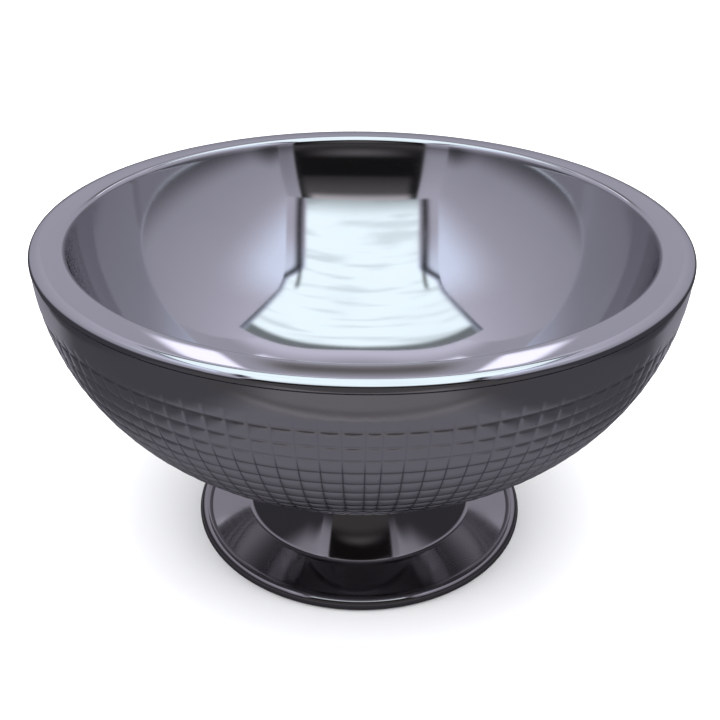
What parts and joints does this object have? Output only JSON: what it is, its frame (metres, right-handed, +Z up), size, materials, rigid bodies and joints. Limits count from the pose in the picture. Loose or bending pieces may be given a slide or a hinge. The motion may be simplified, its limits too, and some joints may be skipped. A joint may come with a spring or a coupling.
{
  "type": "pedestal punch bowl",
  "caption": "Round double-walled steel punch bowl with a flat mirror rim, a tiled outer shell and a flared pedestal foot with a rolled edge.",
  "frame": {"origin": "on the table surface, at the bowl's vertical axis", "axes": "+Z up along the bowl's axis of revolution; +X and +Y level, the bowl being round"},
  "size_m": [0.3999, 0.4, 0.22],
  "materials": {
    "mirror_steel": "mirror-polished stainless steel",
    "tiled_steel": "polished stainless steel, embossed with small square tiles",
    "foot_steel": "polished stainless steel",
    "weld_steel": "recessed weld, dark",
    "plain_steel": "plain turned stainless steel"
  },
  "bodies": {
    "root": {"inner_bowl": "mirror_steel", "outer_shell": "tiled_steel", "rim_weld": "weld_steel", "stiffening_disc": "plain_steel", "mounting_stud": "plain_steel", "foot_skirt": "foot_steel", "foot_bead": "foot_steel", "flat_washer": "plain_steel", "spring_washer": "plain_steel", "foot_nut": "plain_steel"}
  },
  "joints": []
}
